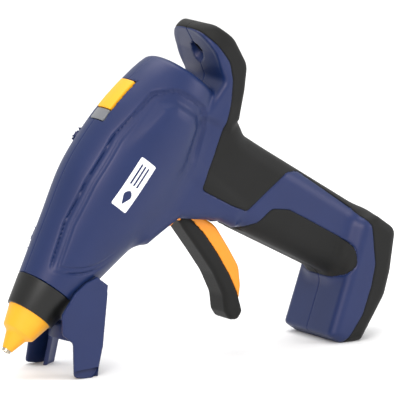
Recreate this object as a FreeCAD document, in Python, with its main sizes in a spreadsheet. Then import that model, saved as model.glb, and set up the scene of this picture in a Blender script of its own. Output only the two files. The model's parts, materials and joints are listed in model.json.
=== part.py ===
import FreeCAD, Part
import math
import os
import Sketcher
from FreeCAD import Placement, Rotation, Vector

# Cordless glue gun on its fold-out stand, built from separate moulded, metal and electrical pieces.
#
# Every piece is modelled in the gun's own frame: x runs from the nozzle's tip to the rear along the
# glue stick, z points from the barrel's belly to its top, and y points to the gun's right side.
# One placement then pitches the gun nose down, so that it rests on the stand and the heel of its base.

SIZES = [
    # name, value, what it is (millimetres or degrees)
    ("pitch_angle", 51.2, "nose-down angle of the barrel when the gun stands"),
    # nozzle, cover and collar
    ("tip_radius", 2.3, "outside of the metal nozzle's mouth"),
    ("melt_bore", 0.9, "radius of the nozzle's outlet"),
    ("tip_bare_length", 1.4, "metal left bare ahead of the cover"),
    ("cover_length", 20.9, "nozzle cover, from its mouth to the collar"),
    ("cover_mouth_radius", 2.7, "outside of the cover at its mouth"),
    ("cover_neck_radius", 5.7, "outside of the cover at the end of its narrow cone"),
    ("cover_shoulder_radius", 8.6, "outside of the cover behind its step"),
    ("cover_rear_radius", 11.75, "outside of the cover at the collar"),
    ("cover_step_at", 8.4, "from the cover's mouth to its step"),
    ("cover_step_length", 1.8, "length of the step"),
    ("collar_length", 15.7, "black collar"),
    ("collar_front_radius", 12.8, "outside of the collar at its front"),
    ("collar_wall", 2.0, "wall of the collar"),
    ("spigot_length", 2.4, "collar's spigot inside the housing"),
    ("spigot_gap", 0.35, "radial gap round the spigot"),
    ("fit_gap", 0.05, "radial gap of pieces that seat in each other"),
    ("loose_gap", 0.35, "gap between pieces that move past each other"),
    # housing sections, from the collar to the rear face
    ("front_radius", 16.0, "housing at the collar"),
    ("nose_run", 30.0, "front to the nose section"),
    ("nose_half_height", 23.3, ""),
    ("nose_half_width", 20.0, ""),
    ("swell_run", 27.0, "nose section to the swell"),
    ("swell_half_height", 29.3, ""),
    ("swell_half_width", 24.0, ""),
    ("belly_run", 22.0, "swell to the belly"),
    ("belly_half_height", 30.0, ""),
    ("belly_half_width", 24.6, ""),
    ("back_run", 16.0, "belly to the button"),
    ("back_half_height", 28.7, ""),
    ("back_half_width", 24.4, ""),
    ("taper_run", 16.0, "button to the taper"),
    ("taper_half_height", 25.6, ""),
    ("taper_half_width", 23.4, ""),
    ("tail_run", 12.0, "taper to the tail"),
    ("tail_half_height", 22.0, ""),
    ("tail_half_width", 21.3, ""),
    ("end_run", 7.0, "tail to the rear face"),
    ("rear_half_height", 15.5, ""),
    ("rear_half_width", 17.0, ""),
    ("wall", 3.0, "housing wall, with its soft skin where it has one"),
    ("skin", 1.5, "soft skin moulded over the housing"),
    # handle, guard and base
    ("grip_half_width", 16.5, "handle"),
    ("grip_top", 66.0, "from the barrel's axis down to the top of the handle's front"),
    ("grip_length", 64.0, "handle's front"),
    ("grip_lean", 13.0, "rearward lean of the front over its length"),
    ("grip_depth", 42.5, "front to back at the top"),
    ("grip_bottom_depth", 38.5, "front to back at the base"),
    ("grip_edge", 7.0, "rounding along the handle's sides"),
    ("guard_gap", 11.0, "space between the rear face and the guard"),
    ("guard_floor", 12.0, "depth of that space below the axis"),
    ("guard_reach", 16.0, "guard's tip above the axis"),
    ("guard_half_width", 20.0, ""),
    ("guard_lean", 9.0, "rearward lean of the guard's face"),
    ("guard_thickness", 19.0, "guard, front to back at the axis"),
    ("base_half_width", 23.5, ""),
    ("base_toe", 27.5, "base ahead of the handle's front"),
    ("base_toe_drop", 16.5, "slope of the base's top from the handle to its toe"),
    ("base_toe_face", 8.5, "short front face of the toe"),
    ("base_foot_length", 13.0, "flat that the gun rests on"),
    ("base_heel_drop", 16.5, "from the handle's bottom to the heel's lower corner"),
    ("base_edge", 5.0, "rounding along the base's sides"),
    # stick path and heater
    ("stick_radius", 3.6, "glue stick, a consumable that is left out"),
    ("stick_gap", 0.3, "radial gap round the stick"),
    ("chamber_radius", 8.5, "aluminium melt chamber"),
    ("chamber_length", 50.0, ""),
    ("chamber_flat", 6.0, "from the axis to the heater's seat"),
    ("heater_length", 16.0, ""),
    ("heater_width", 8.0, ""),
    ("heater_thickness", 1.4, ""),
    ("clamp_thickness", 0.8, "spring clip that presses the heater on"),
    ("ring_length", 3.0, "heat-proof rings that hold the chamber"),
    ("ring_radius", 12.4, ""),
    ("sleeve_length", 14.0, "silicone inlet sleeve"),
    ("sleeve_wall", 2.8, ""),
    ("guide_length", 34.0, "rear stick guide"),
    ("guide_wall", 2.2, ""),
    ("ball_radius", 1.5, "check ball in the nozzle"),
    # trigger and feed
    ("pivot_ahead", 13.0, "trigger's pivot ahead of the belly section"),
    ("pivot_drop", 29.5, "pivot below the axis"),
    ("arm_length", 18.5, "pivot to drive pin"),
    ("arm_half_width", 3.4, ""),
    ("trigger_swing", 12.0, "full squeeze"),
    ("trigger_half_width", 8.0, ""),
    ("pin_radius", 1.5, "trigger and drive pins"),
    ("pin_play", 0.06, "radial running gap of the pins"),
    ("trigger_length", 73.0, "pivot to the trigger's lower end"),
    ("pad_depth", 8.5, "soft pad on the trigger's front"),
    ("carriage_length", 18.0, ""),
    ("carriage_half_height", 7.5, ""),
    ("carriage_half_width", 8.0, ""),
    ("lug_depth", 10.5, "carriage lugs below its block"),
    ("tongue_reach", 3.0, "carriage tongues in their rails"),
    ("tongue_half_height", 2.5, ""),
    ("jaw_length", 9.0, ""),
    ("spring_radius", 3.0, "return spring"),
    ("spring_wire", 0.35, "radius of its wire"),
    # button, lens and board
    ("button_length", 19.0, ""),
    ("button_half_width", 5.8, ""),
    ("button_rise", 0.9, "button above the housing"),
    ("button_travel", 0.6, ""),
    ("lens_length", 7.0, ""),
    ("board_thickness", 1.6, ""),
    # battery and charging
    ("cell_radius", 7.1, ""),
    ("cell_length", 48.0, ""),
    ("cell_tilt", 17.0, "cells against the barrel's axis"),
    ("socket_half_width", 4.5, "charging socket"),
    ("socket_half_height", 1.65, ""),
    ("socket_length", 7.4, ""),
    # stand
    ("hinge_at", 5.0, "stand's hinge behind the collar"),
    ("hinge_drop", 14.0, "hinge below the axis"),
    ("hinge_pin_radius", 1.3, ""),
    ("stand_open", 138.0, "swing between folded and open"),
    ("stand_length", 39.5, "hinge to the stand's free end"),
    ("stand_wall", 1.9, ""),
    ("stand_gap", 0.6, "folded stand to housing"),
    ("stand_rise", 9.6, "stand's side edges above the hinge when folded"),
    ("stand_slope", 14.0, "folded stand against the axis"),
    ("leg_gap_half", 14.6, "half the width between the stand's legs"),
    ("leg_length", 17.5, "legs, from the free end"),
    # screws
    ("screw_radius", 1.3, ""),
    ("screw_head_radius", 2.6, ""),
    ("screw_head_height", 2.0, ""),
    ("boss_radius", 3.2, ""),
]

doc = FreeCAD.newDocument("glue_gun")
sheet = doc.addObject("Spreadsheet::Sheet", "Sizes")
for row, (name, value, note) in enumerate(SIZES, start=1):
    sheet.set("A%d" % row, name)
    sheet.set("B%d" % row, str(value))
    sheet.setAlias("B%d" % row, name)
    sheet.set("C%d" % row, note)
doc.recompute()


def size(name):
    """A driving size, read back from the sheet."""
    return float(sheet.get(name))


def cell(text):
    """An expression in which every word of the sheet is bound to its cell."""
    words = sorted((row[0] for row in SIZES), key=len, reverse=True)
    out = []
    token = ""
    for letter in text + " ":
        if letter.isalnum() or letter == "_":
            token += letter
            continue
        out.append("Sizes." + token if token in words else token)
        token = ""
        out.append(letter)
    return "".join(out).strip()


# ---------------------------------------------------------------- places that many pieces share

def total(*names):
    """An expression that adds sizes up."""
    return " + ".join(names)


COVER_REAR = "tip_bare_length + cover_length"
FRONT = COVER_REAR + " + collar_length"
NOSE = FRONT + " + nose_run"
SWELL = NOSE + " + swell_run"
BELLY = SWELL + " + belly_run"
BACK = BELLY + " + back_run"
TAPER = BACK + " + taper_run"
TAIL = TAPER + " + tail_run"
REAR = TAIL + " + end_run"


def worth(expression):
    """The value of an expression of the sheet's words."""
    result = 0.0
    for term in expression.split(" + "):
        result += size(term)
    return result


front = worth(FRONT)
belly = worth(BELLY)
rear = worth(REAR)
pivot = Vector(belly - size("pivot_ahead"), 0, -size("pivot_drop"))
hinge = Vector(front + size("hinge_at"), 0, -size("hinge_drop"))
half_swing = math.radians(size("trigger_swing") / 2)
drive = pivot + Vector(math.sin(half_swing), 0, math.cos(half_swing)) * size("arm_length")

# handle and base corners in the gun's side plane
grip_front_top = Vector(belly + 4.5, 0, -size("grip_top"))
grip_front_low = grip_front_top + Vector(size("grip_lean"), 0, -size("grip_length"))
grip_back_top = grip_front_top + Vector(size("grip_depth") - 2.0, 0, 22.0)
grip_back_low = grip_front_low + Vector(size("grip_bottom_depth"), 0, 0)
toe_top = grip_front_low + Vector(-size("base_toe"), 0, -size("base_toe_drop"))
pitch = math.radians(size("pitch_angle"))
level = Vector(math.cos(pitch), 0, -math.sin(pitch))
toe_low = toe_top + Vector(0.8, 0, -size("base_toe_face"))
foot_end = toe_low + level * size("base_foot_length")
heel_low = grip_back_low + Vector(-18.5, 0, -size("base_heel_drop") - 11.0)
heel_back = grip_back_low + Vector(0.5, 0, -size("base_heel_drop"))
ground = toe_low.x * math.sin(pitch) + toe_low.z * math.cos(pitch)

UPRIGHT = Placement(Vector(0, 0, 0), Rotation(Vector(0, -1, 0), size("pitch_angle")))

kept = []


def keep(piece, label):
    """Name a finished piece and put it with the others.

    A piece whose own place follows the sheet is wrapped, so that the whole gun can be pitched.
    """
    if any("Placement" in path for path, _ in piece.ExpressionEngine):
        wrapper = doc.addObject("Part::Compound", label + "_placed")
        wrapper.Links = [piece]
        piece.Label = label + "_form"
        piece = wrapper
    piece.Label = label
    kept.append(piece)
    return piece


# ---------------------------------------------------------------- sketches and features

def origin_feature(body, role):
    for feature in body.Origin.OriginFeatures:
        if feature.Role == role:
            return feature
    raise ValueError(role)


def new_body(name):
    return doc.addObject("PartDesign::Body", name)


def new_sketch(body, name, role, lift=None):
    sketch = body.newObject("Sketcher::SketchObject", name)
    sketch.AttachmentSupport = (origin_feature(body, role), [""])
    sketch.MapMode = "FlatFace"
    if lift is not None:
        sketch.setExpression("AttachmentOffset.Base.z", cell(lift))
    return sketch


def bind(sketch, kind, geometry, point, expression, start):
    """Hold one coordinate of a point to an expression of the sheet."""
    index = sketch.addConstraint(Sketcher.Constraint(kind, -1, 1, geometry, point, start))
    sketch.setExpression("Constraints[%d]" % index, cell(expression))


def draw_polygon(sketch, points):
    """A closed outline of straight sides; each corner is a pair of expressions."""
    seeds = [(value_of(a), value_of(b)) for a, b in points]
    first = sketch.GeometryCount
    count = len(points)
    for i in range(count):
        a = Vector(seeds[i][0], seeds[i][1], 0)
        b = Vector(seeds[(i + 1) % count][0], seeds[(i + 1) % count][1], 0)
        sketch.addGeometry(Part.LineSegment(a, b), False)
    for i in range(count):
        nxt = first + (i + 1) % count
        sketch.addConstraint(Sketcher.Constraint("Coincident", first + i, 2, nxt, 1))
    for i in range(count):
        bind(sketch, "DistanceX", first + i, 1, points[i][0], seeds[i][0])
        bind(sketch, "DistanceY", first + i, 1, points[i][1], seeds[i][1])


def draw_circle(sketch, x, y, radius):
    seed = Vector(value_of(x), value_of(y), 0)
    index = sketch.addGeometry(Part.Circle(seed, Vector(0, 0, 1), value_of(radius)), False)
    bind(sketch, "DistanceX", index, 3, x, seed.x)
    bind(sketch, "DistanceY", index, 3, y, seed.y)
    number = sketch.addConstraint(Sketcher.Constraint("Radius", index, value_of(radius)))
    sketch.setExpression("Constraints[%d]" % number, cell(radius))


def value_of(expression):
    """A starting value for the solver: the expression worked out by the document itself."""
    probe.setExpression("Length", None)
    probe.setExpression("Length", cell("(" + expression + ") + 1000"))
    probe.recompute()
    return probe.Length.Value - 1000


probe = doc.addObject("Part::Box", "probe")


def pad(body, sketch, length, both=True, reverse=False):
    feature = body.newObject("PartDesign::Pad", sketch.Name + "_pad")
    feature.Profile = sketch
    feature.setExpression("Length", cell(length))
    if both:
        feature.SideType = "Symmetric"
    feature.Reversed = reverse
    sketch.Visibility = False
    return feature


def pocket(body, sketch, length=None, reverse=False):
    feature = body.newObject("PartDesign::Pocket", sketch.Name + "_pocket")
    feature.Profile = sketch
    if length is None:
        feature.Type = "ThroughAll"
        feature.SideType = "Symmetric"
    else:
        feature.setExpression("Length", cell(length))
    feature.Reversed = reverse
    return feature


def turned(name, points):
    """A piece turned about the barrel's axis; points are x and radius."""
    body = new_body(name)
    sketch = new_sketch(body, name + "_profile", "XZ_Plane")
    draw_polygon(sketch, points)
    feature = body.newObject("PartDesign::Revolution", name + "_turn")
    feature.Profile = sketch
    feature.ReferenceAxis = (origin_feature(body, "X_Axis"), [""])
    feature.Angle = 360.0
    keep(body, name)
    return body


# ---------------------------------------------------------------- plain shapes for moulded pieces

def outline(corners):
    """A closed side-plane wire whose corners are rounded by tangent arcs: (x, z, radius)."""
    count = len(corners)
    starts, ends, middles = [], [], []
    for i, (x, z, radius) in enumerate(corners):
        here = Vector(x, 0, z)
        before = (Vector(corners[i - 1][0], 0, corners[i - 1][1]) - here).normalize()
        after = Vector(corners[(i + 1) % count][0], 0, corners[(i + 1) % count][1])
        after = (after - here).normalize()
        half = before.getAngle(after) / 2
        reach = radius / math.tan(half) if radius else 0.0
        starts.append(here + before * reach)
        ends.append(here + after * reach)
        middle = (before + after)
        if radius and middle.Length > 1e-6:
            middle.normalize()
            middles.append(here + middle * (radius / math.sin(half) - radius))
        else:
            middles.append(None)
    edges = []
    for i in range(count):
        if middles[i] is not None:
            edges.append(Part.Arc(starts[i], middles[i], ends[i]).toShape())
        edges.append(Part.LineSegment(ends[i], starts[(i + 1) % count]).toShape())
    return Part.Wire(edges)


def slab(corners, half_width, inset=0.0, edge=0.0):
    """An outline given thickness about the middle plane, drawn in by inset, with rounded sides."""
    face = Part.Face(outline(corners))
    if inset:
        face = face.makeOffset2D(-inset)
    reach = half_width - inset
    solid = face.extrude(Vector(0, 2 * reach, 0))
    solid.translate(Vector(0, -reach, 0))
    if edge > inset:
        rims = [e for e in solid.Edges if abs(abs(e.CenterOfMass.y) - reach) < 1e-4
                and e.BoundBox.YLength < 1e-4]
        solid = solid.makeFillet(edge - inset, rims)
    return solid


def block(x0, x1, y0, y1, z0, z1):
    return Part.makeBox(x1 - x0, y1 - y0, z1 - z0, Vector(x0, y0, z0))


def rod(centre, axis, radius, length):
    """A cylinder centred on a point."""
    return Part.makeCylinder(radius, length, centre - axis * (length / 2), axis)


RING_POINTS = 12


def ring_wire(x, half_height, half_width):
    """An upright ellipse across the barrel."""
    points = []
    for step in range(RING_POINTS):
        turn = 2 * math.pi * step / RING_POINTS
        points.append(Vector(x, half_width * math.cos(turn), half_height * math.sin(turn)))
    curve = Part.BSplineCurve()
    curve.interpolate(Points=points, PeriodicFlag=True)
    return Part.Wire([curve.toShape()])


def barrel(grow, start=0.0, finish=0.0):
    """The barrel's solid, grown or shrunk by one distance all round."""
    stations = [(FRONT, "front_radius", "front_radius")]
    for at, key in ((NOSE, "nose"), (SWELL, "swell"), (BELLY, "belly"), (BACK, "back"),
                    (TAPER, "taper"), (TAIL, "tail"), (REAR, "rear")):
        stations.append((at, key + "_half_height", key + "_half_width"))
    rings = []
    for index, (at, height, width) in enumerate(stations):
        x = worth(at)
        if index == 0:
            x -= start
        if index == len(stations) - 1:
            x += finish
        rings.append(ring_wire(x, size(height) + grow, size(width) + grow))
    return Part.makeLoft(rings, True, True)


def flank_corners():
    """The two cheeks that the trigger swings between, in side view."""
    return [
        (pivot.x - 20.0, pivot.z + 5.5, 0.0),
        (pivot.x - 18.5, pivot.z + 1.0, 2.0),
        (pivot.x - 5.5, pivot.z - 4.0, 3.0),
        (pivot.x + 2.5, pivot.z - 7.0, 2.5),
        (grip_front_top.x - 3.0, grip_front_top.z + 9.0, 6.0),
        (grip_front_top.x + 0.5, grip_front_top.z - 1.0, 0.0),
        (grip_front_top.x + 12.0, grip_front_top.z + 2.0, 0.0),
        (grip_front_top.x + 10.0, 0.0, 0.0),
        (pivot.x - 8.0, 0.0, 0.0),
    ]


def grip_corners():
    """The handle in side view, from inside the barrel down into the base."""
    return [
        (grip_front_top.x + 4.0, -size("guard_floor") - 4.0, 0.0),
        (grip_front_top.x, grip_front_top.z, 20.0),
        (grip_front_low.x, grip_front_low.z, 0.0),
        (grip_front_low.x + 4.0, grip_front_low.z - 14.0, 0.0),
        (grip_back_low.x - 5.0, grip_back_low.z - 14.0, 0.0),
        (grip_back_low.x, grip_back_low.z, 30.0),
        (grip_back_top.x, grip_back_top.z, 7.0),
        (rear + 20.0, grip_back_top.z + 13.5, 0.0),
        (rear + 8.0, -size("guard_floor") - 10.0, 0.0),
        (rear - 10.0, -size("guard_floor") - 1.0, 0.0),
    ]


def guard_corners():
    """The guard behind the barrel, with its rearward leaning face."""
    face_low = Vector(rear + size("guard_gap") - 3.0, 0, -size("guard_floor"))
    tip = Vector(rear + size("guard_gap") + size("guard_lean"), 0, size("guard_reach"))
    back = rear + size("guard_gap") + size("guard_thickness")
    return [
        (rear - 14.0, -size("guard_floor"), 0.0),
        (rear - 10.0, -size("guard_floor") - 20.0, 0.0),
        (grip_back_top.x + 4.0, grip_back_top.z + 5.0, 0.0),
        (rear + 13.0, -32.5, 0.0),
        (rear + 24.5, -26.0, 12.0),
        (back + 1.0, -5.0, 10.0),
        (back - 2.5, size("guard_reach") - 5.5, 7.5),
        (tip.x, tip.z, 3.5),
        (face_low.x + 4.5, 0.0, 9.0),
        (face_low.x, face_low.z, 4.0),
    ]


def base_corners():
    """The base below the handle, from its toe to the heel."""
    return [
        (toe_top.x, toe_top.z, 2.5),
        (toe_low.x, toe_low.z, 1.5),
        (foot_end.x, foot_end.z, 3.0),
        (heel_low.x - 12.0, heel_low.z - 5.0, 14.0),
        (heel_low.x, heel_low.z, 10.0),
        (heel_back.x, heel_back.z, 5.5),
        (grip_back_low.x - 0.5, grip_back_low.z - 2.0, 5.5),
        (grip_back_low.x - 9.0, grip_back_low.z + 4.0, 6.0),
        (grip_front_low.x + 8.0, grip_front_low.z - 4.0, 6.0),
    ]


def guard_profile(grow):
    """The guard's rounded top, seen along the barrel: it bounds the guard's width."""
    half = size("guard_half_width") + grow
    centre = size("guard_reach") + grow - half
    x0, length = rear - 5.0, 60.0
    top = Part.makeCylinder(half, length, Vector(x0, 0, centre), Vector(1, 0, 0))
    return top.fuse(block(x0, x0 + length, -half, half, -60.0, centre))


def whole(inset):
    """The housing's full volume, drawn in by a distance."""
    grip_edge = size("grip_edge") if inset < size("wall") else 0.0
    base_edge = size("base_edge") if inset < size("wall") else 0.0
    guard = slab(guard_corners(), size("guard_half_width"), inset)
    parts = [barrel(-inset, start=0.0, finish=-inset),
             slab(flank_corners(), size("grip_half_width"), inset),
             slab(grip_corners(), size("grip_half_width"), inset, grip_edge),
             slab(base_corners(), size("base_half_width"), inset, base_edge),
             guard.common(guard_profile(-inset))]
    return parts[0].multiFuse(parts[1:]).removeSplitter()


def prism(corners, half_width):
    """A straight-sided cutter about the middle plane."""
    return slab([(x, z, 0.0) for x, z in corners], half_width)


def halves(shape):
    """The left and right parts of a shape on either side of the middle plane."""
    reach = 400.0
    left = shape.common(block(-reach, reach, -reach, 0, -reach, reach))
    right = shape.common(block(-reach, reach, 0, reach, -reach, reach))
    return left, right


def plain(name, shape):
    """A moulded or wound piece whose shape needs the general tools."""
    feature = doc.addObject("Part::Feature", name)
    feature.Shape = shape
    return keep(feature, name)


# ---------------------------------------------------------------- places inside the housing

chamber_front = front - size("collar_length") + 2.0
chamber_rear = chamber_front + size("chamber_length")
ring_places = (front + 8.0, chamber_rear - 5.0)
guide_bore = size("stick_radius") + size("stick_gap")
guide_outer = guide_bore + size("guide_wall")
loose = size("loose_gap")
fit = size("fit_gap")
carriage_front = drive.x - 7.0
spring_seat = carriage_front - 15.5
button_front = worth(BACK) - 4.0
button_rear = button_front + size("button_length")
lens_front = button_front - fit - size("lens_length")
board_top = 17.0
cell_centre = Vector(grip_front_low.x + 5.4, 0, grip_front_low.z - 17.3)
cell_axis = Vector(math.cos(math.radians(size("cell_tilt"))), 0, math.sin(math.radians(size("cell_tilt"))))
socket_at = Vector(heel_back.x, 0, heel_back.z + 9.5)
screw_places = [
    (front + 19.0, 13.6), (front + 75.0, 20.5), (grip_front_top.x + 31.0, grip_front_top.z + 25.0),
    (grip_front_low.x + 13.5, grip_front_low.z + 42.0), (grip_back_low.x - 10.0, grip_back_low.z + 6.5),
]


# ---------------------------------------------------------------- housing halves and soft skins

def spine_region():
    """Side-plane border of the soft skin on the guard, the handle's back and the heel."""
    top, low = grip_front_top, grip_front_low
    return [
        (rear + 21.0, 40.0), (rear + 21.0, 9.0), (rear + 19.0, 2.0), (rear + 16.0, -8.0),
        (rear + 10.0, -14.0), (rear + 2.0, -20.0), (top.x + 22.0, -31.0), (top.x + 4.0, -37.0),
        (top.x + 6.5, top.z + 10.0), (top.x + 9.0, top.z + 0.5), (top.x + 27.0, top.z - 5.0),
        (top.x + 41.0, top.z - 10.0), (top.x + 44.0, top.z - 15.0), (low.x + 33.0, low.z + 9.0),
        (low.x + 32.0, low.z - 1.0), (low.x + 25.0, low.z - 8.0), (low.x + 17.0, low.z - 16.0),
        (low.x + 7.0, low.z - 21.0), (low.x - 8.0, low.z - 26.0), (toe_low.x - 9.0, toe_low.z - 1.6),
        (toe_low.x - 9.0, -230.0), (rear + 60.0, -230.0), (rear + 60.0, 40.0),
    ]


def palm_region():
    """Side-plane border of the soft pad on the handle's front."""
    top, low = grip_front_top, grip_front_low
    return [
        (top.x - 12.0, top.z - 7.0), (top.x + 1.0, top.z - 6.0), (top.x + 9.0, top.z - 10.5),
        (top.x + 19.0, top.z - 12.5), (top.x + 24.0, top.z - 21.0), (top.x + 26.5, top.z - 34.0),
        (low.x + 17.5, low.z + 8.0), (low.x + 18.0, low.z + 1.0), (low.x + 13.0, low.z - 6.0),
        (low.x + 1.5, low.z - 1.5), (low.x - 14.0, low.z - 1.5),
    ]


def trigger_slot():
    """The opening in the belly and the handle's front that the trigger swings in."""
    return [
        (pivot.x - 5.2, pivot.z + 5.0), (pivot.x - 5.2, pivot.z - 14.0),
        (grip_front_top.x - 8.0, grip_front_top.z - 3.0), (grip_front_top.x + 3.0, grip_front_top.z - 5.5),
        (grip_front_top.x + 7.5, grip_front_top.z + 4.0), (grip_front_top.x + 7.5, pivot.z - 14.0),
        (pivot.x + 14.0, pivot.z + 5.0),
    ]


def inside_works():
    """Ribs, rails, bosses and seats moulded inside the housing."""
    works = []
    for x in ring_places:
        works.append(block(x, x + size("ring_length"), -40, 40, -40, 40))
    rail_low = size("tongue_half_height") + loose
    start, finish = carriage_front - 7.0, carriage_front + size("carriage_length") + 2.0
    reach = size("carriage_half_width") + loose
    for side in (-1, 1):
        near, far = sorted((side * reach, side * 40.0))
        for level_sign in (-1, 1):
            low, high = sorted((level_sign * rail_low, level_sign * (rail_low + 2.2)))
            works.append(block(start, finish, near, far, low, high))
        near, far = sorted((side * 7.2, side * 40.0))
        works.append(block(lens_front - 1.0, button_rear + 2.0, near, far,
                           board_top - size("board_thickness") - 1.8,
                           board_top - size("board_thickness")))
    works.append(block(spring_seat - 2.2, spring_seat, -40, 40, -60, drive.z + 3.5))
    works.append(rod(pivot, Vector(0, 1, 0), 4.2, 80))
    works.append(rod(Vector(hinge.x, 0, hinge.z + 0.2), Vector(0, 1, 0), 2.6, 80))
    works.append(block(rear - 14.0, rear - 11.5, -40, 40, -14, 30))
    for x, z in screw_places:
        works.append(rod(Vector(x, 0, z), Vector(0, 1, 0), size("boss_radius"), 80))
    return works


def housing_cuts():
    """Everything that opens or clears the housing."""
    cuts = []
    ring_bore = size("ring_radius") + fit
    cuts.append(Part.makeCylinder(ring_bore, ring_places[1] + 10.0 - front, Vector(front, 0, 0), Vector(1, 0, 0)))
    cuts.append(prism(trigger_slot(), size("trigger_half_width") + 0.8))
    cuts.append(block(pivot.x - 12.0, pivot.x + 20.0, -size("trigger_half_width") - 0.8,
                      size("trigger_half_width") + 0.8, pivot.z - 3.0, drive.z + 3.0))
    cuts.append(rod(pivot, Vector(0, 1, 0), size("pin_radius"), 2 * size("grip_half_width") - 6.0))
    cuts.append(rod(hinge, Vector(0, 1, 0), size("hinge_pin_radius"), 60.0))
    cuts.append(Part.makeCylinder(guide_outer + fit, size("guide_length") + 4.0,
                                  Vector(rear - size("guide_length") - 0.5, 0, 0), Vector(1, 0, 0)))
    cuts.append(Part.makeCylinder(guide_outer + 2.0 + fit, 3.1, Vector(rear - 14.0 - 3.0, 0, 0), Vector(1, 0, 0)))
    cuts.append(block(lens_front - fit, button_rear + 0.3, -size("button_half_width") - 0.3,
                      size("button_half_width") + 0.3, board_top, 60.0))
    cuts.append(block(socket_at.x - 12.0, socket_at.x + 10.0, -size("socket_half_width") - fit,
                      size("socket_half_width") + fit, socket_at.z - size("socket_half_height") - fit,
                      socket_at.z + size("socket_half_height") + fit))
    for x, z in screw_places:
        low = -6.0
        cuts.append(Part.makeCylinder(size("screw_radius"), 60.0, Vector(x, low, z), Vector(0, 1, 0)))
        cuts.append(Part.makeCylinder(size("screw_head_radius") + 0.2, 60.0,
                                      Vector(x, head_depth(x, z), z), Vector(0, 1, 0)))
    return cuts


def head_depth(x, z):
    """Where a screw's head seats: its boss stops this far from the middle plane."""
    return 7.5


guard_foot = -24.0
outer = whole(0.0)
under = whole(size("skin"))
inner = whole(size("wall"))
skin_shell = outer.cut(under)
spine_skin = skin_shell.common(prism(spine_region(), 60.0))
palm_skin = skin_shell.common(prism(palm_region(), 60.0))
cuts = housing_cuts()
stick_hole = Part.makeCylinder(guide_bore + 0.8, 80.0, Vector(rear - 1.0, 0, 0), Vector(1, 0, 0))
cuts.append(stick_hole)
hollow = inner.cut(inside_works())
shell = outer.cut([hollow, spine_skin, palm_skin] + cuts)
# The guard behind the stick's hole is a moulding of its own, which meets the housing in flat faces.
reach = 80.0
guard_space = block(rear, rear + reach, -reach, reach, guard_foot, reach)
mouldings = (
    ("housing", shell.cut(guard_space)),
    ("guard", shell.common(guard_space)),
    ("spine_grip", spine_skin.cut(cuts)),
    ("palm_grip", palm_skin.cut(cuts)),
)
for name, shape in mouldings:
    left, right = halves(shape)
    plain(name + "_left", left)
    plain(name + "_right", right)


# ---------------------------------------------------------------- nozzle, cover and collar

step = "tip_bare_length + cover_step_at"
shoulder = step + " + cover_step_length"
turned("nozzle_tip", [
    ("0", "melt_bore"), ("0", "tip_radius"), (step, "tip_radius"), (shoulder, "cover_neck_radius + 0.3"),
    (FRONT + " - collar_length + 2", "cover_neck_radius + 0.3"),
    (FRONT + " - collar_length + 2", "4"), (FRONT + " - collar_length + 8", "4"),
    (FRONT + " - collar_length + 8", "ball_radius + 0.6"),
    (FRONT + " - collar_length - 8", "ball_radius + 0.6"),
    (FRONT + " - collar_length - 10", "melt_bore"),
])
turned("nozzle_cover", [
    ("tip_bare_length", "tip_radius + fit_gap"), ("tip_bare_length", "cover_mouth_radius"),
    (step, "cover_neck_radius"), (shoulder, "cover_shoulder_radius"),
    (COVER_REAR, "cover_rear_radius - fit_gap"), (COVER_REAR + " + 1.8", "cover_rear_radius - fit_gap"),
    (COVER_REAR + " + 1.8", "cover_neck_radius + 0.3 + fit_gap"),
    (shoulder + " - fit_gap", "cover_neck_radius + 0.3 + fit_gap"), (step + " - fit_gap", "tip_radius + fit_gap"),
])
turned("nose_collar", [
    (COVER_REAR, "cover_rear_radius"), (COVER_REAR, "collar_front_radius"), (FRONT, "front_radius"),
    (FRONT, "front_radius - wall - spigot_gap"), (FRONT + " + spigot_length", "front_radius - wall - spigot_gap"),
    (FRONT + " + spigot_length", "front_radius - wall - spigot_gap - 1.2"),
    (FRONT + " - 4", "front_radius - collar_wall - 2.3"), (COVER_REAR + " + 1.8", "cover_rear_radius"),
])
ball = doc.addObject("Part::Sphere", "check_ball")
ball.setExpression("Radius", cell("ball_radius"))
ball_at = FRONT + " - collar_length - 6.2"
ball.setExpression("Placement.Base.x", cell(ball_at))
keep(ball, "check_ball")


def coil(name, radius, wire, start, finish, turns, centre):
    """A round-wire compression spring along x."""
    length = finish - start - 2 * wire
    helix = Part.makeHelix(length / turns, length, radius)
    profile = Part.Wire([Part.makeCircle(wire, Vector(radius, 0, 0), Vector(0, 1, 0))])
    spring = Part.Wire(helix).makePipeShell([profile], True, True)
    spring.Placement = Placement(Vector(start + wire, 0, 0) + centre, Rotation(Vector(0, 1, 0), 90))
    return plain(name, spring)


ball_x = front - size("collar_length") - 6.2
coil("check_spring", size("ball_radius") - 0.1, 0.2, ball_x + size("ball_radius") + 0.1, ball_x + 12.0, 6, Vector())

# ---------------------------------------------------------------- heater and stick path

CHAMBER = COVER_REAR + " + 2"
CHAMBER_END = CHAMBER + " + chamber_length"
chamber = turned("heating_chamber", [
    (CHAMBER, "4 + fit_gap"), (CHAMBER, "chamber_radius - 2"), (CHAMBER + " + 2", "chamber_radius"),
    (CHAMBER_END, "chamber_radius"), (CHAMBER_END, "stick_radius + stick_gap"),
    (CHAMBER + " + 30", "stick_radius + stick_gap"), (CHAMBER + " + 6 + fit_gap", "ball_radius + 0.6"),
    (CHAMBER + " + 6 + fit_gap", "4 + fit_gap"),
])
RING_TWO = CHAMBER_END + " - 5"
HEATER_MIDDLE = RING_TWO + " - 10.5"
seat = new_sketch(chamber, "heater_seat", "XZ_Plane")
draw_polygon(seat, [
    (HEATER_MIDDLE + " - heater_length / 2 - 0.5", "chamber_flat"),
    (HEATER_MIDDLE + " + heater_length / 2 + 0.5", "chamber_flat"),
    (HEATER_MIDDLE + " + heater_length / 2 + 0.5", "chamber_radius + 3"),
    (HEATER_MIDDLE + " - heater_length / 2 - 0.5", "chamber_radius + 3"),
])
pocket(chamber, seat)


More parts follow.
